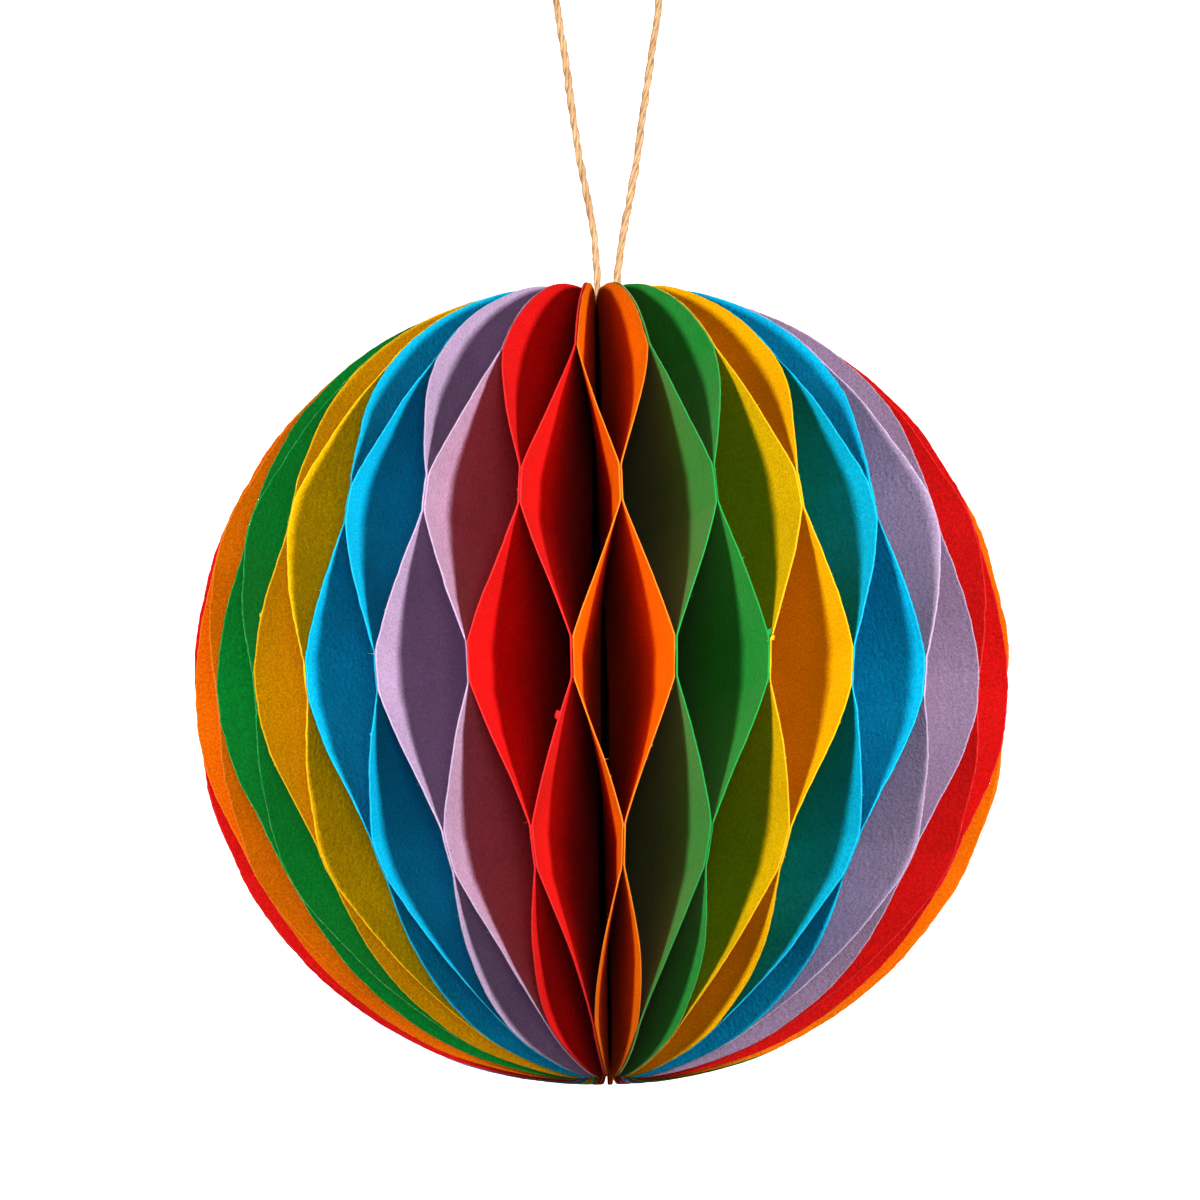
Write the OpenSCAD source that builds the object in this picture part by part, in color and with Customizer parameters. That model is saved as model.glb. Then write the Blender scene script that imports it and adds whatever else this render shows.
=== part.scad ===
// Paper honeycomb ball on a loop of twine. Millimetres, +Z up.
// The origin is the crown of the loop, where a hook bears on the twine.
// Azimuth is counted from -Y, the front, towards +X.
// Each leaf is a half disc of stiff paper whose straight edge is its spine.
// The leaves stand round a hollow core and are glued to their two
// neighbours in turn, in strips at five heights, which opens the cells.

/* [Leaves] */
// Number of leaves, in pairs of one colour
leaf_count = 52; // [32:2:52]
// Width of a leaf, from its spine to the middle of its rim
leaf_width = 96.3; // [90:0.1:110]
// Height of a leaf, end to end of its spine, before the corners are rounded
leaf_height = 196; // [190:0.5:206]
// Radius of the rounded corner at each end of the spine
corner_r = 5; // [3:0.5:8]
// Thickness of the paper
paper_t = 0.42; // [0.2:0.01:0.45]
// Distance from one leaf's spine to the next, paper and glue together
leaf_pitch = 0.5; // [0.5:0.01:0.6]

/* [Glue strips] */
// Height of the middle row of strips over the ball's centre
mid_row_z = -10.4; // [-14:0.5:4]
// Height from one row to the next
row_pitch = 41.8; // [36:0.1:42]
// Height of the top row over the ball's centre
top_row_z = 71.2; // [66:0.5:76]
// Length of a strip along the spine
glue_len = 9.3; // [5:0.1:12]
// Length of a strip in the top row
top_glue_len = 3; // [2:0.1:9]
// How far the paper eases into its bends between strips, none to full
bend_ease = 0.1; // [0:0.05:1]

/* [Twine] */
// Diameter of the twine
twine_d = 2; // [1.5:0.1:2.2]
// Height of the loop's crown over the ball's centre
hang_drop = 197; // [190:1:210]
// Depth of the twine's ends inside the core
tail_len = 24; // [15:1:60]
// Diameter of the knot in the core
knot_d = 6; // [4:0.1:6.6]

/* [Hidden] */
step = 360 / leaf_count;
core_r = leaf_pitch / (2 * sin(step / 2));
ball_z = -hang_drop;
colour_names = ["red", "orange", "green", "yellow", "blue", "lilac"];
colours = [
    [0.90, 0.09, 0.08],
    [1.00, 0.42, 0.02],
    [0.06, 0.55, 0.22],
    [0.97, 0.74, 0.02],
    [0.02, 0.62, 0.80],
    [0.72, 0.60, 0.80]
];

// azimuth of a leaf's spine, and its unit directions along and across
function turn(i) = (i - (leaf_count - 1) / 2) * step;
function along(a) = [sin(a), -cos(a), 0];
function across(a) = [cos(a), sin(a), 0];
function shade(i) = floor(i / 2) % 6;
function two(n) = n < 10 ? str("0", n) : str(n);
function leaf_name(i) = str("leaf_", two(i + 1), "_", colour_names[shade(i)]);

// rows of strips from the bottom up: [height, half length, way]
half = glue_len / 2;
rows = [
    [mid_row_z - 2 * row_pitch, half, 1],
    [mid_row_z - row_pitch, half, -1],
    [mid_row_z, half, 1],
    [mid_row_z + row_pitch, half, -1],
    [top_row_z, top_glue_len / 2, 1]
];

// how far a leaf leans towards a neighbour at height z, from -1 to 1; past the
// first and last rows it stays beside the neighbour that it is glued to there
function ease(s) = (1 - bend_ease) * s + bend_ease * s * s * (3 - 2 * s);
function low_end(k) = rows[k][0] + rows[k][1];
function high_end(k) = rows[k + 1][0] - rows[k + 1][1];
function part_way(k, z) = (z - low_end(k)) / (high_end(k) - low_end(k));
function between(k, z) = rows[k][2] * (1 - 2 * ease(min(max(part_way(k, z), 0), 1)));
function wave(z, k = 0) = k > 3 ? rows[4][2] : z < high_end(k) ? between(k, z) : wave(z, k + 1);

// heights at which a leaf's outline and bends are drawn; the outline is a half
// circle as wide as the leaf, drawn out to the leaf's height
tall = leaf_height / 2 / leaf_width;
corner_z = sqrt(pow(leaf_width - corner_r, 2) - corner_r * corner_r);
function corner_h(a) = (corner_z + corner_r * sin(a)) * tall;
bends = 5;
levels = concat(
    [for (a = [80, 60, 40, 20, 0]) -corner_h(a)],
    [for (k = [0 : 3], n = [0 : bends])
        low_end(k) + (high_end(k) - low_end(k)) * n / bends],
    [for (n = [1 : 4]) high_end(3) + (corner_h(0) - high_end(3)) * n / 5],
    [for (a = [0, 20, 40, 60, 80]) corner_h(a)]
);

// where the outline starts and ends, measured out from the spine
function past_corner(z) = max(abs(z) / tall - corner_z, 0);
function inner_edge(z) = corner_r - sqrt(max(corner_r * corner_r - pow(past_corner(z), 2), 0));
function outer_edge(z) = sqrt(leaf_width * leaf_width - pow(z / tall, 2));

// a point of a leaf: out from its spine, at height z, to one side of its middle
function leaf_point(i, out, z, side) =
    let (a = turn(i) + (i % 2 == 0 ? -1 : 1) * wave(z) * step / 2)
    core_r * along(turn(i)) + out * along(a) + side * paper_t / 2 * across(a)
    + [0, 0, ball_z + z];

module leaf(i) {
    n = len(levels);
    points = [
        for (z = levels)
            each [
                leaf_point(i, inner_edge(z), z, -1),
                leaf_point(i, outer_edge(z), z, -1),
                leaf_point(i, outer_edge(z), z, 1),
                leaf_point(i, inner_edge(z), z, 1)
            ]
    ];
    // both sides of the paper fold along the same lines, from the rim at one
    // height to the spine at the next
    faces = concat(
        [[0, 1, 2], [0, 2, 3]],
        [for (k = [0 : n - 2]) let (b = 4 * k)
            each [
                [b, b + 4, b + 1], [b + 1, b + 4, b + 5],
                [b + 1, b + 5, b + 2], [b + 2, b + 5, b + 6],
                [b + 2, b + 6, b + 7], [b + 2, b + 7, b + 3],
                [b + 3, b + 7, b], [b, b + 7, b + 4]
            ]],
        [let (b = 4 * n - 4) each [[b, b + 2, b + 1], [b, b + 3, b + 2]]]
    );
    color(colours[shade(i)])
        polyhedron(points = points, faces = faces);
}

// half of the loop, from the ball's top to the crown: [x, height over the centre]
loop_side = [
    [2.2, 98], [2.7, 105], [3.8, 113], [5.8, 126], [7.6, 138], [9.3, 149],
    [11.1, 161], [12.7, 173], [13.6, 182], [12.6, 190], [9.4, 195], [4.9, 197.4]
];
crown = [0, hang_drop + twine_d / 2];
tail_side = [
    [1.05, 98 - tail_len], [1.05, 92 - tail_len / 2], [1.1, 92], [1.6, 95.5], [2.2, 98]
];
function to_space(q, way) = [way * q[0], 0, q[1] + ball_z];
function reversed(v) = [for (k = [len(v) - 1 : -1 : 0]) v[k]];
loop_path = concat(
    [for (q = loop_side) to_space(q, -1)],
    [to_space(crown, 1)],
    [for (q = reversed(loop_side)) to_space(q, 1)]
);

// a smooth line through a path's points, with one more point in each gap
function at(p, k) = p[min(max(k, 0), len(p) - 1)];
function middle(p, k) = (9 * (at(p, k) + at(p, k + 1)) - at(p, k - 1) - at(p, k + 2)) / 16;
function smooth(p) = concat(
    [for (k = [0 : len(p) - 2]) each [p[k], middle(p, k)]],
    [p[len(p) - 1]]
);

// a round tube along a path that lies in the XZ plane, with level ends
function heading(p, k) = p[min(k + 1, len(p) - 1)] - p[max(k - 1, 0)];
function sideways(p, k) =
    k == 0 ? [sign(heading(p, k)[2]), 0, 0]
    : k == len(p) - 1 ? [sign(heading(p, k)[2]), 0, 0]
    : let (h = heading(p, k)) [h[2], 0, -h[0]] / norm(h);
module tube(path, d) {
    sides = 8;
    p = smooth(path);
    n = len(p);
    points = [
        for (k = [0 : n - 1], s = [0 : sides - 1])
            p[k] + d / 2 * (cos(360 * s / sides) * sideways(p, k)
            + sin(360 * s / sides) * [0, 1, 0])
    ];
    faces = concat(
        [[for (s = [0 : sides - 1]) s]],
        [for (k = [0 : n - 2], s = [0 : sides - 1])
            let (b = sides * k, t = (s + 1) % sides)
            each [
                [b + s, b + s + sides, b + t],
                [b + t, b + s + sides, b + t + sides]
            ]],
        [[for (s = [sides - 1 : -1 : 0]) sides * (n - 1) + s]]
    );
    polyhedron(points = points, faces = faces);
}

module hanging_loop() {
    color([0.80, 0.68, 0.48])
        tube(loop_path, twine_d);
}

// the same twine inside the core: both ends and the knot that ties them
module twine_tail() {
    color([0.80, 0.68, 0.48])
        union() {
            tube([for (q = tail_side) to_space(q, -1)], twine_d);
            tube([for (q = tail_side) to_space(q, 1)], twine_d);
            translate([0, 0, ball_z + 98 - tail_len])
                sphere(d = knot_d, $fn = 48);
        }
}

LEAVES = [for (i = [0 : leaf_count - 1]) leaf_name(i)];

for (i = [0 : leaf_count - 1])
    leaf(i);
hanging_loop();
twine_tail();
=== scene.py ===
import math

import bpy
import numpy as np
from mathutils import Matrix, Vector


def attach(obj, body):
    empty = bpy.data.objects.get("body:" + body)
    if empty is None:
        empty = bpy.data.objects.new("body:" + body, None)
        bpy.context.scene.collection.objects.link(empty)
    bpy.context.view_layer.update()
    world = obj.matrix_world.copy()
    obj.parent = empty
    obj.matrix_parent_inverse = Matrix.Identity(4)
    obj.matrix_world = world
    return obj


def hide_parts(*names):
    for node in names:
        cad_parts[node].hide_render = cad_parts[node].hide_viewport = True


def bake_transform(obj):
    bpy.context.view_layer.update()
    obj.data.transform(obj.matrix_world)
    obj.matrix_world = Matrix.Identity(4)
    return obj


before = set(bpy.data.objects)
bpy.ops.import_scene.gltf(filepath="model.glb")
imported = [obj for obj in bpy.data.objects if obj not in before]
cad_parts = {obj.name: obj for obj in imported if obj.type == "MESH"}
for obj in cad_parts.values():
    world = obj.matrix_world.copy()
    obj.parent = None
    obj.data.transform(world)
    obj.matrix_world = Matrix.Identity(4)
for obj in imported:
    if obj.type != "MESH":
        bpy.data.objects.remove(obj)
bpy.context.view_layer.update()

# ---------------------------------------------------------------- sizes, in millimetres and degrees
# Lengths are in millimetres up to over(), which puts them in the frame, in metres.
LEAVES = 52
STEP = 360 / LEAVES
PITCH = 0.5
CORE = PITCH / 2 / math.sin(math.radians(STEP / 2))
DROP = 197.0
WIDTH, HEIGHT, CORNER, PAPER = 96.3, 196.0, 5.0, 0.42
TALL = HEIGHT / 2 / WIDTH
CORNER_Z = math.sqrt((WIDTH - CORNER) ** 2 - CORNER ** 2)
TOP = (CORNER_Z + CORNER) * TALL
# rows of glue strips from the bottom up: height over the ball's centre, half length, way of leaning
ROWS = [(-94.0, 4.65, 1), (-52.2, 4.65, -1), (-10.4, 4.65, 1), (31.4, 4.65, -1), (71.2, 1.5, 1)]
EASE = 0.1
SHADES = ["red", "orange", "green", "yellow", "blue", "lilac"]
MM = 0.001


def shade(i):
    return SHADES[(i // 2) % len(SHADES)]


def node_name(i):
    return "leaf_%02d_%s" % (i + 1, shade(i))


def wave(z):
    """How far a leaf leans towards a neighbour at height z over the ball's centre."""
    w = np.full_like(z, 1.0)
    for k in range(3, -1, -1):
        low, high = ROWS[k][0] + ROWS[k][1], ROWS[k + 1][0] - ROWS[k + 1][1]
        s = np.clip((z - low) / (high - low), 0, 1)
        s = (1 - EASE) * s + EASE * s * s * (3 - 2 * s)
        w = np.where(z < high, ROWS[k][2] * (1 - 2 * s), w)
    return w


def mesh_object(name, points, faces, smooth=True):
    mesh = bpy.data.meshes.new(name)
    mesh.from_pydata([tuple(p) for p in points], [], faces)
    mesh.update()
    if smooth:
        mesh.polygons.foreach_set("use_smooth", [True] * len(mesh.polygons))
    obj = bpy.data.objects.new(name, mesh)
    bpy.context.scene.collection.objects.link(obj)
    return obj


def give(obj, name, kind, values):
    """A point attribute for the materials to read."""
    a = obj.data.attributes.new(name, kind, "POINT")
    a.data.foreach_set("vector" if kind == "FLOAT_VECTOR" else "value",
                       np.asarray(values, np.float32).ravel())


# ---------------------------------------------------------------- camera
CENTRE = Vector((0, 0, -DROP * MM))
# the camera's direction from the ball, its roll, its distance in metres and its lens
AZIMUTH, ELEVATION, ROLL, AWAY = 2.68, -9.67, 1.04, 1.506
LENS = 183.3
# where it aims, in millimetres to the right of the ball's centre and above it
AIM_RIGHT, AIM_UP = -0.3, 20.75


def direction(azimuth, elevation):
    """A unit vector: azimuth is counted from -Y, the front, towards +X."""
    a, e = math.radians(azimuth), math.radians(elevation)
    return Vector((math.sin(a) * math.cos(e), -math.cos(a) * math.cos(e), math.sin(e)))


back = direction(AZIMUTH, ELEVATION)
base_right = Vector((0, 0, 1)).cross(back).normalized()
base_up = back.cross(base_right)
roll = math.radians(ROLL)
cam_x = base_right * math.cos(roll) - base_up * math.sin(roll)
cam_y = base_right * math.sin(roll) + base_up * math.cos(roll)
aim = CENTRE + cam_x * AIM_RIGHT * MM + cam_y * AIM_UP * MM
place = CENTRE + back * AWAY
look = (place - aim).normalized()
cam_x = (cam_x - look * cam_x.dot(look)).normalized()
cam_y = look.cross(cam_x)
camera = bpy.data.objects.new("camera", bpy.data.cameras.new("camera"))
bpy.context.scene.collection.objects.link(camera)
camera.data.lens = LENS
camera.data.sensor_width = 36
camera.data.clip_start, camera.data.clip_end = 0.05, 50
camera.matrix_world = Matrix((
    (cam_x.x, cam_y.x, look.x, place.x),
    (cam_x.y, cam_y.y, look.y, place.y),
    (cam_x.z, cam_y.z, look.z, place.z),
    (0, 0, 0, 1)))
bpy.context.scene.camera = camera


# ---------------------------------------------------------------- materials
def linear(c):
    """A display colour as linear reflectance."""
    return tuple(x / 12.92 if x <= 0.04045 else ((x + 0.055) / 1.055) ** 2.4 for x in c)


class Nodes:
    """A short way to wire a material."""

    def __init__(self, name):
        self.material = bpy.data.materials.new(name)
        self.material.use_nodes = True
        self.tree = self.material.node_tree
        self.tree.nodes.clear()
        self.out = self.tree.nodes.new("ShaderNodeOutputMaterial")

    def add(self, kind, **settings):
        n = self.tree.nodes.new(kind)
        for k, v in settings.items():
            setattr(n, k, v)
        return n

    def link(self, a, b):
        self.tree.links.new(a, b)

    def attribute(self, name, socket="Vector"):
        n = self.add("ShaderNodeAttribute", attribute_name=name)
        return n.outputs[socket]

    def noise(self, where, scale, detail=3, rough=0.55, stretch=None):
        if stretch:
            m = self.add("ShaderNodeMapping")
            m.inputs["Scale"].default_value = stretch
            self.link(where, m.inputs["Vector"])
            where = m.outputs["Vector"]
        n = self.add("ShaderNodeTexNoise")
        n.inputs["Scale"].default_value = scale
        n.inputs["Detail"].default_value = detail
        n.inputs["Roughness"].default_value = rough
        self.link(where, n.inputs["Vector"])
        return n.outputs["Fac"]

    def ramp(self, value, low, high, a=0.0, b=1.0):
        n = self.add("ShaderNodeMapRange", clamp=True)
        n.inputs["From Min"].default_value = low
        n.inputs["From Max"].default_value = high
        n.inputs["To Min"].default_value = a
        n.inputs["To Max"].default_value = b
        self.link(value, n.inputs["Value"])
        return n.outputs["Result"]

    def maths(self, op, a, b=None):
        n = self.add("ShaderNodeMath", operation=op)
        for k, v in enumerate((a, b)):
            if v is None:
                continue
            if isinstance(v, (int, float)):
                n.inputs[k].default_value = v
            else:
                self.link(v, n.inputs[k])
        return n.outputs[0]

    def mix(self, factor, a, b):
        n = self.add("ShaderNodeMix", data_type="RGBA")
        if isinstance(factor, (int, float)):
            n.inputs[0].default_value = factor
        else:
            self.link(factor, n.inputs[0])
        for k, v in ((6, a), (7, b)):
            if isinstance(v, tuple):
                n.inputs[k].default_value = (*v, 1)
            else:
                self.link(v, n.inputs[k])
        return n.outputs[2]

    def bump(self, height, strength, distance, after=None):
        n = self.add("ShaderNodeBump")
        n.inputs["Strength"].default_value = strength
        n.inputs["Distance"].default_value = distance
        self.link(height, n.inputs["Height"])
        if after is not None:
            self.link(after, n.inputs["Normal"])
        return n.outputs["Normal"]


# dye of each paper, as linear reflectance, and the tint and strength of its fuzz
PAPER_COLOURS = {
    "red": ((0.82, 0.024, 0.022), (1.0, 0.30, 0.28), 0.20),
    "orange": ((0.95, 0.265, 0.002), (1.0, 0.50, 0.10), 0.08),
    "green": ((0.002, 0.390, 0.072), (1.0, 0.72, 0.48), 0.66),
    "yellow": ((0.97, 0.560, 0.002), (1.0, 0.80, 0.08), 0.42),
    "blue": ((0.001, 0.540, 0.800), (0.42, 0.90, 1.0), 0.36),
    "lilac": ((0.62, 0.460, 0.640), (1.0, 1.0, 1.0), 0.46),
}


def paper(name, dye):
    """Dyed handmade paper: cloudy dye, long fibres, a fine stipple and a slightly paler cut edge.

    It reads two attributes of a leaf: sheet, a place on the flat sheet, and edge, 1 at the cut edge.
    """
    n = Nodes("paper_" + name)
    base, fuzz, fuzz_strength = dye
    deep = tuple(c * 0.88 for c in base)
    light = tuple(min(1.0, c * 1.05 + 0.015) for c in base)
    pale = tuple(0.90 * c + 0.04 for c in base)
    at = n.attribute("sheet")
    edge = n.attribute("edge", "Fac")
    cloud = n.noise(at, 60, 4, 0.6)
    stipple = n.noise(at, 1700, 2, 0.6)
    tooth = n.noise(at, 900, 3, 0.65)
    fibre_a = n.noise(at, 420, 2, 0.5, (0.16, 1.0, 1.0))
    fibre_b = n.noise(at, 450, 2, 0.5, (1.0, 0.14, 1.0))
    fibres = n.maths("MAXIMUM", n.ramp(fibre_a, 0.64, 0.72), n.ramp(fibre_b, 0.66, 0.74))
    colour = n.mix(n.ramp(cloud, 0.3, 0.7), deep, base)
    colour = n.mix(n.maths("MULTIPLY", fibres, 0.22), colour, light)
    dots = n.ramp(stipple, 0.34, 0.66, 0.82, 1.12)
    speckled = n.add("ShaderNodeMix", data_type="RGBA", blend_type="MULTIPLY")
    speckled.inputs[0].default_value = 1.0
    n.link(colour, speckled.inputs[6])
    n.link(dots, speckled.inputs[7])
    colour = speckled.outputs[2]
    worn = n.ramp(n.maths("ADD", edge, n.maths("MULTIPLY", tooth, 0.6)), 0.80, 1.30)
    colour = n.mix(worn, colour, pale)
    shader = n.add("ShaderNodeBsdfPrincipled")
    n.link(colour, shader.inputs["Base Color"])
    n.link(n.ramp(tooth, 0.2, 0.8, 0.66, 0.80), shader.inputs["Roughness"])
    shader.inputs["Specular IOR Level"].default_value = 0.16
    shader.inputs["Sheen Weight"].default_value = fuzz_strength
    shader.inputs["Sheen Roughness"].default_value = 0.45
    shader.inputs["Sheen Tint"].default_value = (*fuzz, 1)
    soft = n.maths("ADD", n.maths("MULTIPLY", fibres, 0.12), n.maths("MULTIPLY", cloud, 0.8))
    height = n.maths("ADD", n.maths("MULTIPLY", tooth, 0.8), soft)
    n.link(n.bump(height, 0.7, 0.0003), shader.inputs["Normal"])
    n.link(shader.outputs["BSDF"], n.out.inputs["Surface"])
    return n.material


def twine_material():
    """Undyed jute: fibres along the yarn, with painted shade between the plies.

    It reads two attributes of the twine: yarn, a place on an untwisted ply, and the painted shade between
    the plies, which is 1 there.
    """
    n = Nodes("twine")
    at = n.attribute("yarn")
    ply_shade = n.attribute("ply_shade", "Fac")
    strands = n.noise(at, 1100, 3, 0.6, (1.0, 1.0, 0.10))
    patch = n.noise(at, 110, 3, 0.6)
    # the dark colour serves both the real darker patches of jute and the shade painted between the plies
    light, mid, dark_jute_and_ply_shade = linear((0.86, 0.74, 0.60)), linear((0.80, 0.65, 0.49)), linear((0.60, 0.44, 0.28))
    colour = n.mix(n.ramp(strands, 0.35, 0.65), mid, light)
    colour = n.mix(n.maths("MULTIPLY", n.ramp(patch, 0.40, 0.65), 0.45), colour, dark_jute_and_ply_shade)
    # painted shade: the side of each ply that faces the other plies is darkened
    colour = n.mix(n.maths("MULTIPLY", ply_shade, 0.55), colour, dark_jute_and_ply_shade)
    shader = n.add("ShaderNodeBsdfPrincipled")
    n.link(colour, shader.inputs["Base Color"])
    n.link(n.ramp(strands, 0.2, 0.8, 0.7, 0.9), shader.inputs["Roughness"])
    shader.inputs["Specular IOR Level"].default_value = 0.2
    n.link(n.bump(strands, 0.6, 0.0002), shader.inputs["Normal"])
    n.link(shader.outputs["BSDF"], n.out.inputs["Surface"])
    return n.material


TWINE = twine_material()
PAPERS = {name: paper(name, c) for name, c in PAPER_COLOURS.items()}


# ---------------------------------------------------------------- twine
def rounded(points, gap=0.5):
    """A smooth line through the points, in steps of about gap millimetres."""
    p = np.array(points, float)
    d = np.concatenate([[0], np.cumsum(np.linalg.norm(np.diff(p, axis=0), axis=1))])
    m = np.gradient(p, d, axis=0)
    at = np.linspace(0, d[-1], int(d[-1] / gap) + 1)
    k = np.clip(np.searchsorted(d, at, "right") - 1, 0, len(d) - 2)
    h = (d[k + 1] - d[k])[:, None]
    t = ((at - d[k]) / h[:, 0])[:, None]
    return ((2 * t**3 - 3 * t**2 + 1) * p[k] + (t**3 - 2 * t**2 + t) * h * m[k]
            + (3 * t**2 - 2 * t**3) * p[k + 1] + (t**3 - t**2) * h * m[k + 1])


def carried(line):
    """A frame that is carried along a line without turning about it."""
    t = np.gradient(line, axis=0)
    t /= np.linalg.norm(t, axis=1)[:, None]
    u = np.zeros_like(t)
    u[0] = np.cross(t[0], [1.0, 0.1, 0.05])
    u[0] /= np.linalg.norm(u[0])
    for k in range(1, len(t)):
        v = u[k - 1] - t[k] * (u[k - 1] @ t[k])
        u[k] = v / np.linalg.norm(v)
    return t, u, np.cross(t, u)


def unsteady(r, s, gap, size):
    """A value that wanders along a line, anew every gap millimetres."""
    x = np.arange(0, s[-1] + 2 * gap, gap)
    return np.interp(s, x, r.normal(0, size, len(x)))


def twisted(line, plies, ply_d, out, lay, seed):
    """Plies laid round a line. Points, faces and yarn places, all in millimetres, and the shade painted on
    each point between the plies.
    """
    r = np.random.default_rng(seed)
    t, u, v = carried(line)
    s = np.concatenate([[0], np.cumsum(np.linalg.norm(np.diff(line, axis=0), axis=1))])
    points, faces, yarn, ply_shade = [], [], [], []
    sides = 12
    ply_gap = 9
    for p in range(plies):
        fat = 1 + unsteady(r, s, 2.5, 0.09)
        turn = 2 * math.pi * (s / lay + p / plies) + unsteady(r, s, 5, 0.22)
        offset = u * np.cos(turn)[:, None] + v * np.sin(turn)[:, None]
        axis = line + (out * (1 + unsteady(r, s, 4, 0.14)))[:, None] * offset
        first = len(points)
        side = np.cross(t, offset)
        for k in range(len(line)):
            for q in range(sides):
                a = 2 * math.pi * q / sides
                lean = math.cos(a) * offset[k] + math.sin(a) * side[k]
                rough = 1 + 0.05 * r.normal()
                points.append(axis[k] + ply_d / 2 * fat[k] * rough * lean)
                yarn.append((p * ply_gap + q * 0.13, math.sin(a), s[k] - 0.8 * q / sides))
                # painted shade, strongest on the side of the ply that faces the other plies
                ply_shade.append(max(0.0, -math.cos(a)))
        for k in range(len(line) - 1):
            for q in range(sides):
                a, b = first + k * sides + q, first + k * sides + (q + 1) % sides
                faces.append((a, b, b + sides, a + sides))
        faces.append(tuple(first + q for q in range(sides))[::-1])
        last = first + (len(line) - 1) * sides
        faces.append(tuple(last + q for q in range(sides)))
    return points, faces, yarn, ply_shade


def hairs(line, count, reach, radius, seed, lift=0.9):
    """Loose fibres that leave a line and curl beside it."""
    r = np.random.default_rng(seed)
    t, u, v = carried(line)
    points, faces = [], []
    steps = 5
    furthest = 2.6
    for _ in range(count):
        k = r.integers(2, len(line) - 3)
        a = r.uniform(0, 2 * math.pi)
        n = u[k] * math.cos(a) + v[k] * math.sin(a)
        side = np.cross(t[k], n)
        long = r.uniform(0.4, 1.0) * reach
        way = t[k] * r.choice([-1, 1]) * r.uniform(0.4, 1.3) + n * r.uniform(0.3, 1.0)
        way = way + side * r.uniform(-0.5, 0.5)
        way /= np.linalg.norm(way)
        curl = n * r.uniform(-0.6, 0.1) + side * r.uniform(-0.5, 0.5)
        start = line[k] + n * lift * 0.85
        first = len(points)
        for j in range(steps):
            f = j / (steps - 1)
            c = start + way * long * f + curl * long * f * f * 0.6
            off = c - line[k]
            along = t[k] * (off @ t[k])
            away = off - along
            size = np.linalg.norm(away)
            if size > furthest:
                away *= furthest / size
            c = line[k] + along + away
            w = radius * (1 - 0.6 * f)
            for q in range(3):
                b = 2 * math.pi * q / 3
                points.append(c + w * (math.cos(b) * side + math.sin(b) * n))
        for j in range(steps - 1):
            for q in range(3):
                a0, b0 = first + j * 3 + q, first + j * 3 + (q + 1) % 3
                faces.append((a0, b0, b0 + 3, a0 + 3))
    return points, faces


def over(points):
    """From [x, y, height over the ball's centre] to the frame, in metres."""
    return (np.array(points, float) + [0, 0, -DROP]) * MM


# the route of the twine outside the ball: up one leg, round the crown, down the other.
# The ball hangs a degree out of true, so the twine leans to one side of the ball's axis.
loop_route = [
    (0.9, 0, 98), (0.75, 0, 105), (0.3, 0, 113), (-0.9, 0, 121), (-2.6, 0, 131), (-4.9, 0, 148),
    (-6.4, 0, 161), (-8.0, 0, 173), (-8.7, 0, 182), (-7.4, 0, 189.5), (-3.9, 0, 195.4),
    (0.4, 0, 197.9), (5.0, 0, 198.4), (10.2, 0, 197), (14.8, 0, 193), (17.5, 0, 187),
    (18.1, 0, 180), (17.6, 0, 173), (15.7, 0, 161), (13.6, 0, 148), (11.0, 0, 131),
    (9.0, 0, 121), (7.4, 0, 113), (6.2, 0, 105), (5.3, 0, 98)]
loop_line = rounded(loop_route)
points, faces, yarn, ply_shade = twisted(loop_line, 3, 1.08, 0.42, 14.0, 3)
extra, more = hairs(loop_line, 150, 2.0, 0.04, 4)
faces += [tuple(k + len(points) for k in f) for f in more]
rope = mesh_object("twine_loop", over(points + extra), faces)
yarn += [(50 + k * 0.01, 0, k * 0.3) for k in range(len(extra))]
give(rope, "yarn", "FLOAT_VECTOR", np.array(yarn) * MM)
# the painted shade between the plies; the loose fibres get none
give(rope, "ply_shade", "FLOAT", ply_shade + [0.0] * len(extra))
rope.data.materials.append(TWINE)
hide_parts("hanging_loop")
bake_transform(rope)


# inside the core: both legs, the knot that ties them and its two ends
def core_leg(way):
    return rounded([(3.1 + way * 2.2, 0, 98), (1.9 + way * 1.8, 0, 95.5), (0.7 + way * 1.3, 0, 92),
                    (way * 1.1, 0, 84), (way * 1.2, 0, 76)])


def knot_line():
    t = np.linspace(0, 2 * math.pi, 90)
    return np.stack([0.72 * (np.sin(t) + 2 * np.sin(2 * t)), 0.8 * -np.sin(3 * t),
                     74 + 0.72 * (np.cos(t) - 2 * np.cos(2 * t))], axis=1)


def end_line(way):
    return rounded([(way * 0.9, 0.4 * way, 74), (way * 1.3, 0.7 * way, 70), (way * 1.9, 0.5 * way, 66)])


points, faces, yarn, ply_shade = [], [], [], []
for seed, line in enumerate([core_leg(-1), core_leg(1), knot_line(), end_line(-1), end_line(1)]):
    p, f, y, d = twisted(line, 3, 1.0, 0.40, 14.0, 20 + seed)
    faces += [tuple(k + len(points) for k in q) for q in f]
    points, yarn, ply_shade = points + p, yarn + y, ply_shade + d
tail = mesh_object("twine_tail_and_knot", over(points), faces)
give(tail, "yarn", "FLOAT_VECTOR", np.array(yarn) * MM)
give(tail, "ply_shade", "FLOAT", ply_shade)
tail.data.materials.append(TWINE)
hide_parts("twine_tail")
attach(tail, "twine_tail")


# ---------------------------------------------------------------- leaves
# distances from the rim to a leaf's points, closer together near the cut edge; the last reaches the spine
FROM_RIM = np.array([0, 0.28, 0.75, 1.8, 4.5, 10, 20, 36, 58, 88, 200.0])
ROWS_OF_POINTS = 300
# how roughly a rim is cut, point by point, and how far a whole leaf is cut too wide or too narrow
RIM_GRAIN, RIM_OFFSET = 0.11, 0.16
# how far the faces bow, and the most that one leaf bows on its own, small enough for the leaves to close
FACE_BOW, MOST_BOW = 0.22, 0.15
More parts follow.
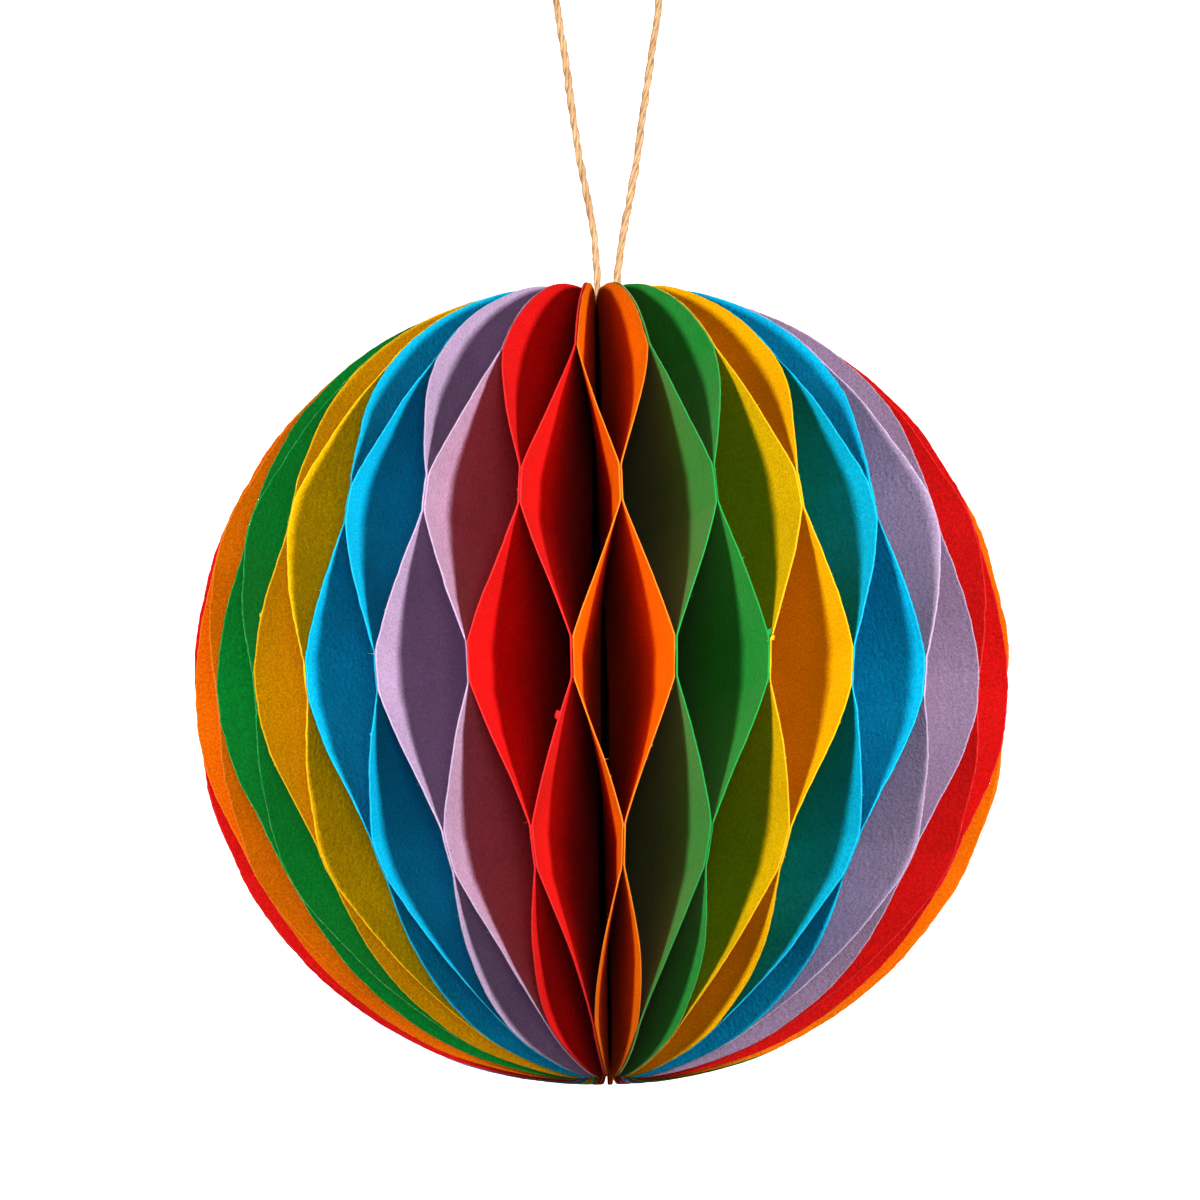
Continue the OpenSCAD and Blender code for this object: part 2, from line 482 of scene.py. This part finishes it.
# the spines are glued to each other, which closes the core: extra half thickness, and how far out it fades
GLUE_SWELL, GLUE_FADE = 0.05, 1.0
# how deep the cut edge's paler fibres show
EDGE_FADE = 0.13
# distance between two leaves' places in the paper's grain, so that no two are alike
SHEET_GAP = 3.7
FIBRES = 110


def waves(r, count, low, high, size):
    """Waves with wavelengths between low and high: frequency, phase and size of each."""
    return [(2 * math.pi / r.uniform(low, high), r.uniform(0, 2 * math.pi), size * r.normal())
            for _ in range(count)]


def ripple(x, parts):
    return sum(a * np.sin(f * x + p) for f, p, a in parts)


rng = np.random.default_rng(52)
common_rim = waves(rng, 5, 22, 90, 0.12)
common_face = [waves(rng, 4, 30, 80, 0.5), waves(rng, 4, 35, 90, 0.5)]


def uneven(lean, z):
    """How far the folded and glued paper sits from even spacing, in degrees, at a height in millimetres."""
    t, h = lean - math.radians(AZIMUTH), z / 100
    return (-1.61 * np.sin(t) - 0.51 * np.cos(t) - 1.03 * np.sin(2 * t) - 1.30 * np.cos(2 * t)
            + 0.76 * np.sin(3 * t) - 0.68 * np.cos(3 * t) + 0.47 * np.sin(4 * t) + 1.42 * np.cos(4 * t)
            + h * (0.26 * np.sin(t) - 0.07 * np.cos(t) + 0.11 * np.sin(2 * t) + 0.26 * np.cos(2 * t)))


def outline(phi):
    """Height, inner edge and rim of a leaf at a place along its rim."""
    z = TOP * np.sin(phi)
    past = np.maximum(np.abs(z) / TALL - CORNER_Z, 0)
    inner = CORNER - np.sqrt(np.maximum(CORNER**2 - past**2, 0))
    return z, inner, np.sqrt(np.maximum(WIDTH**2 - (z / TALL) ** 2, 0))


def cut_outline(r):
    """Height, inner edge and roughly cut rim of a leaf, row by row, and how free its rim is to be uneven."""
    phi = np.linspace(-math.pi / 2, math.pi / 2, ROWS_OF_POINTS)
    z, inner, outer = outline(phi)
    arc = phi * WIDTH
    soft_end = np.clip((math.pi / 2 - np.abs(phi)) * WIDTH / 12, 0, 1)
    grain = np.convolve(r.normal(0, RIM_GRAIN, len(z) + 2), [0.25, 0.5, 0.25], "valid")
    wander = r.normal(0, RIM_OFFSET) + ripple(arc, common_rim)
    wander = wander + ripple(arc, waves(r, 4, 15, 60, 0.07)) + grain
    return z, inner, np.maximum(outer + soft_end * wander, inner + 0.05), soft_end


def leaf_faces(nz, nk):
    """Faces of a leaf whose points are one side, the other side and the cut edge, row by row."""
    one, two, mid = 0, nz * nk, 2 * nz * nk
    faces = []
    for a in range(nz - 1):
        for b in range(nk - 1):
            p = a * nk + b
            faces.append((one + p, one + p + nk, one + p + nk + 1, one + p + 1))
            faces.append((two + p, two + p + 1, two + p + nk + 1, two + p + nk))
        p = a * nk
        faces.append((one + p, mid + a, mid + a + 1, one + p + nk))
        faces.append((mid + a, two + p, two + p + nk, mid + a + 1))
        q = p + nk - 1
        faces.append((one + q, one + q + nk, two + q + nk, two + q))
    for a, flip in ((0, False), (nz - 1, True)):
        ring = [mid + a] + [one + a * nk + b for b in range(nk)]
        ring += [two + a * nk + b for b in range(nk - 1, -1, -1)]
        faces.append(tuple(ring[::-1] if flip else ring))
    return faces


def leaf(i):
    """One leaf of paper, bent between its rows of strips, in place of the plain one."""
    r = np.random.default_rng(100 + i)
    z, inner, outer, soft_end = cut_outline(r)
    nk, nz = len(FROM_RIM), len(z)
    mid = 2 * nz * nk
    width = outer - inner
    back_off = np.minimum(FROM_RIM[None, :], width[:, None] * np.arange(nk)[None, :] / (nk - 1))
    rho = outer[:, None] - back_off
    zz = np.repeat(z[:, None], nk, axis=1)

    # which way each point lies from the spine
    w = (1 if i % 2 else -1) * wave(zz)
    turn = np.radians((i - (LEAVES - 1) / 2) * STEP)
    lean = turn + w * math.radians(STEP / 2)
    shift = uneven(lean, zz)
    lean = lean + np.radians(shift)
    dx, dy = np.sin(lean), -np.cos(lean)
    ax, ay = np.cos(lean), np.sin(lean)
    sx, sy = CORE * math.sin(turn), -CORE * math.cos(turn)

    # how far the paper bows, all the leaves together and this one on its own
    free = 1 - np.abs(w)
    together = FACE_BOW * ripple(rho, common_face[0]) * ripple(zz, common_face[1])
    own = FACE_BOW * ripple(rho, waves(r, 3, 30, 80, 0.6)) * ripple(zz, waves(r, 3, 20, 60, 0.6))
    own = free * MOST_BOW * np.tanh(own / MOST_BOW)
    swell = (together + own) * np.clip(rho / 25, 0, 1)

    # both sides, and a cut edge that bulges and frays a little between them
    glue = GLUE_SWELL * np.exp(-np.maximum(rho - inner[:, None], 0) / GLUE_FADE)
    sides = []
    for s in (-1, 1):
        off = s * (PAPER / 2 + glue) + swell
        sides.append(np.stack([sx + rho * dx + off * ax, sy + rho * dy + off * ay, zz], axis=-1))
    bulge = rho[:, 0] + r.uniform(-0.02, 0.16, nz) * soft_end
    middle = np.stack([sx + bulge * dx[:, 0] + swell[:, 0] * ax[:, 0],
                       sy + bulge * dy[:, 0] + swell[:, 0] * ay[:, 0], z], axis=-1)
    points = np.concatenate([sides[0].reshape(-1, 3), sides[1].reshape(-1, 3), middle])

    # what the material reads: each point's place on the sheet and its closeness to the cut edge
    def in_grain(out, height, layer):
        return np.stack([out, height, np.full_like(out, i * SHEET_GAP + layer)], axis=-1).reshape(-1, 3)

    sheet = np.concatenate([in_grain(rho, zz, 0.0), in_grain(rho, zz, 0.5), in_grain(bulge, z, 0.25)])
    edge_in = 0.8 * np.exp(-back_off / EDGE_FADE).ravel()
    edge = np.concatenate([edge_in, edge_in, np.ones(nz)])

    # the share of its own fold that a point follows; it is worked out and carried along with the points, but
    # nothing uses it
    way = 1 if i >= LEAVES // 2 else -1
    follow = (1 + way * w) / 2 + way * shift / STEP
    weight = np.concatenate([follow.ravel(), follow.ravel(), follow[:, 0]])

    faces = leaf_faces(nz, nk)
    points, sheet, edge, weight = fray(r, points, sheet, edge, weight, faces, mid, nz)
    for height, *shape in TEARS.get(i + 1, []):
        at = mid + int(np.argmin(np.abs(z - height)))
        points, sheet, edge, weight = tear(points, sheet, edge, weight, faces, at, *shape)
    obj = mesh_object("paper_" + node_name(i), over(points), faces)
    give(obj, "sheet", "FLOAT_VECTOR", sheet * MM)
    give(obj, "edge", "FLOAT", edge)
    obj.data.materials.append(PAPERS[shade(i)])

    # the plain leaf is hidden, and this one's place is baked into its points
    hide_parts(node_name(i))
    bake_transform(obj)


def fray(r, points, sheet, edge, weight, faces, mid, nz):
    """Short fibres standing out of the cut edge, whose points start at mid."""
    new_p, new_s, new_e, new_w = [], [], [], []
    base = len(points)
    for _ in range(FIBRES):
        a = int(r.integers(6, nz - 6))
        p = points[mid + a]
        along = points[mid + a + 1] - points[mid + a - 1]
        along /= np.linalg.norm(along)
        out = np.array([p[0], p[1], p[2]]) / np.linalg.norm(p)
        across = np.cross(along, out)
        long = 0.22 + r.uniform(0, 1) ** 3 * 0.8
        way = out * r.uniform(0.05, 0.6) + along * r.normal(0, 0.8) + across * r.normal(0, 0.8)
        way /= np.linalg.norm(way)
        bend = -out * r.uniform(0.0, 0.5) + across * r.normal(0, 0.4)
        wide = r.uniform(0.05, 0.15)
        start = p - out * 0.12 + across * r.uniform(-0.15, 0.15)
        first = base + len(new_p)
        for j in range(4):
            f = j / 3
            c = start + way * long * f + bend * long * f * f
            for q in range(3):
                b = 2 * math.pi * q / 3
                new_p.append(c + wide * (1 - 0.7 * f) * (math.cos(b) * along + math.sin(b) * across))
                new_s.append(sheet[mid + a] + [0.0, 0.1 * q, 0])
                new_e.append(0.75)
                new_w.append(weight[mid + a])
        for j in range(3):
            for q in range(3):
                s, t = first + j * 3 + q, first + j * 3 + (q + 1) % 3
                faces.append((s, t, t + 3, s + 3))
    return (np.concatenate([points, new_p]), np.concatenate([sheet, new_s]),
            np.concatenate([edge, new_e]), np.concatenate([weight, new_w]))


# places where the rim is torn, by the leaf's number:
# height, length along the rim, reach, side and how far round the flap curls
TEARS = {
    19: [(8.0, 1.2, 0.5, -1, 0.8), (-28.0, 1.0, 0.4, -1, 0.9)],
    22: [(-25.0, 1.0, 0.5, -1, 0.8)],
    25: [(30.0, 1.2, 0.4, -1, 0.8)],
    26: [(-24.4, 2.6, 1.1, -1, 1.4), (-21.6, 0.9, 0.5, 1, 0.8)],
    27: [(-27.0, 0.8, 0.4, -1, 0.7), (-33.0, 1.0, 0.4, -1, 0.8), (-37.5, 0.6, 0.3, 1, 0.9)],
    28: [(20.0, 0.8, 0.3, 1, 0.7), (-30.5, 1.0, 0.4, 1, 0.9)],
    30: [(-4.9, 2.0, 1.2, 1, 0.9), (-6.4, 1.0, 0.8, -1, 0.7)],
    31: [(-5.2, 1.6, 0.9, 1, 1.1), (-33.0, 0.8, 0.4, 1, 0.9)],
    32: [(22.0, 1.0, 0.4, 1, 0.8), (-24.0, 1.1, 0.4, 1, 0.8)],
    34: [(40.0, 0.9, 0.4, 1, 0.9), (-47.0, 1.0, 0.4, 1, 0.8)],
    36: [(24.0, 0.9, 0.4, 1, 0.8)],
}


def tear(points, sheet, edge, weight, faces, at, long, reach, side, turns):
    """A small flap that curls off the rim."""
    p = points[at]
    along = points[at + 1] - points[at - 1]
    along /= np.linalg.norm(along)
    out = np.array(p) / np.linalg.norm(p)
    across = np.cross(along, out) * side
    first, steps = len(points), 9
    new_p, new_s = [], []
    for j in range(steps):
        a = math.pi * turns * j / (steps - 1)
        c = p - out * 0.25 + reach / 2 * (out * math.sin(a) + across * (1 - math.cos(a)))
        thick = 0.07 * (1 + 0.4 * math.sin(5.0 * j)) * (out * -math.sin(a) + across * math.cos(a))
        half = long / 2 * (1 - 0.6 * j / (steps - 1)) * (1 + 0.25 * math.sin(3.1 * j + at))
        slip = along * 0.5 * reach * j / (steps - 1)
        for u, v in ((-1, -1), (1, -1), (1, 1), (-1, 1)):
            new_p.append(c + slip + along * half * u + thick * v)
            new_s.append(sheet[at] + [0.3 * j, half * u, 0.2 * v])
    for j in range(steps - 1):
        for q in range(4):
            a0, b0 = first + 4 * j + q, first + 4 * j + (q + 1) % 4
            faces.append((a0, b0, b0 + 4, a0 + 4))
    faces.append(tuple(first + q for q in (3, 2, 1, 0)))
    faces.append(tuple(first + 4 * (steps - 1) + q for q in range(4)))
    n = len(new_p)
    edge, weight = np.concatenate([edge, np.full(n, 0.7)]), np.concatenate([weight, np.full(n, weight[at])])
    return np.concatenate([points, new_p]), np.concatenate([sheet, new_s]), edge, weight


for i in range(LEAVES):
    leaf(i)


# ---------------------------------------------------------------- floor, light and background
def floor():
    """A pale, evenly lit floor far below, out of the camera's sight."""
    n = Nodes("pale_floor")
    at = n.add("ShaderNodeTexCoord").outputs["Object"]
    grain = n.noise(at, 30, 3, 0.5)
    shader = n.add("ShaderNodeBsdfPrincipled")
    n.link(n.mix(grain, (0.80, 0.80, 0.79), (0.84, 0.84, 0.83)), shader.inputs["Base Color"])
    shader.inputs["Roughness"].default_value = 0.9
    shader.inputs["Emission Color"].default_value = (1, 1, 1, 1)
    shader.inputs["Emission Strength"].default_value = 0.5
    n.link(shader.outputs["BSDF"], n.out.inputs["Surface"])
    half, z = 5.0, -2.7
    corners = [(-half, -half, z), (half, -half, z), (half, half, z), (-half, half, z)]
    plane = mesh_object("floor", corners, [(0, 1, 2, 3)], False)
    plane.data.materials.append(n.material)
    # the floor is only a background, so it sends no light up into the leaves
    plane.visible_diffuse = False


# distance of every light from the ball's centre, in metres
LAMP_AWAY = 1.5


def lamp(name, azimuth, elevation, size, power):
    """A soft round light that looks at the ball."""
    data = bpy.data.lights.new(name, "AREA")
    data.shape = "DISK"
    data.size = size
    data.energy = power
    obj = bpy.data.objects.new(name, data)
    bpy.context.scene.collection.objects.link(obj)
    way = direction(azimuth, elevation)
    obj.location = CENTRE + way * LAMP_AWAY
    obj.rotation_mode = "QUATERNION"
    obj.rotation_quaternion = way.to_track_quat("Z", "Y")


def surroundings():
    """White where the camera looks, and a weak white light from all round."""
    world = bpy.data.worlds.new("studio")
    bpy.context.scene.world = world
    world.use_nodes = True
    tree = world.node_tree
    tree.nodes.clear()
    seen = tree.nodes.new("ShaderNodeBackground")
    seen.inputs["Color"].default_value = (1, 1, 1, 1)
    seen.inputs["Strength"].default_value = 1.0
    fill = tree.nodes.new("ShaderNodeBackground")
    fill.inputs["Color"].default_value = (1, 1, 1, 1)
    fill.inputs["Strength"].default_value = 0.07
    rays = tree.nodes.new("ShaderNodeLightPath")
    choose = tree.nodes.new("ShaderNodeMixShader")
    world_out = tree.nodes.new("ShaderNodeOutputWorld")
    tree.links.new(rays.outputs["Is Camera Ray"], choose.inputs[0])
    tree.links.new(fill.outputs[0], choose.inputs[1])
    tree.links.new(seen.outputs[0], choose.inputs[2])
    tree.links.new(choose.outputs[0], world_out.inputs["Surface"])


floor()
lamp("left_light", AZIMUTH - 34, 3, 0.24, 13.5)
lamp("right_light", AZIMUTH + 39, 4, 0.24, 15.8)
# softer lights behind the ball, for the other views, and a weak one in front
lamp("back_right_light", AZIMUTH + 142, 6, 0.4, 11)
lamp("back_left_light", AZIMUTH - 142, 6, 0.4, 11)
lamp("front_light", AZIMUTH + 3, -5, 0.30, 1.6)
surroundings()
bpy.context.scene.view_settings.view_transform = "Standard"
bpy.context.scene.view_settings.look = "High Contrast"
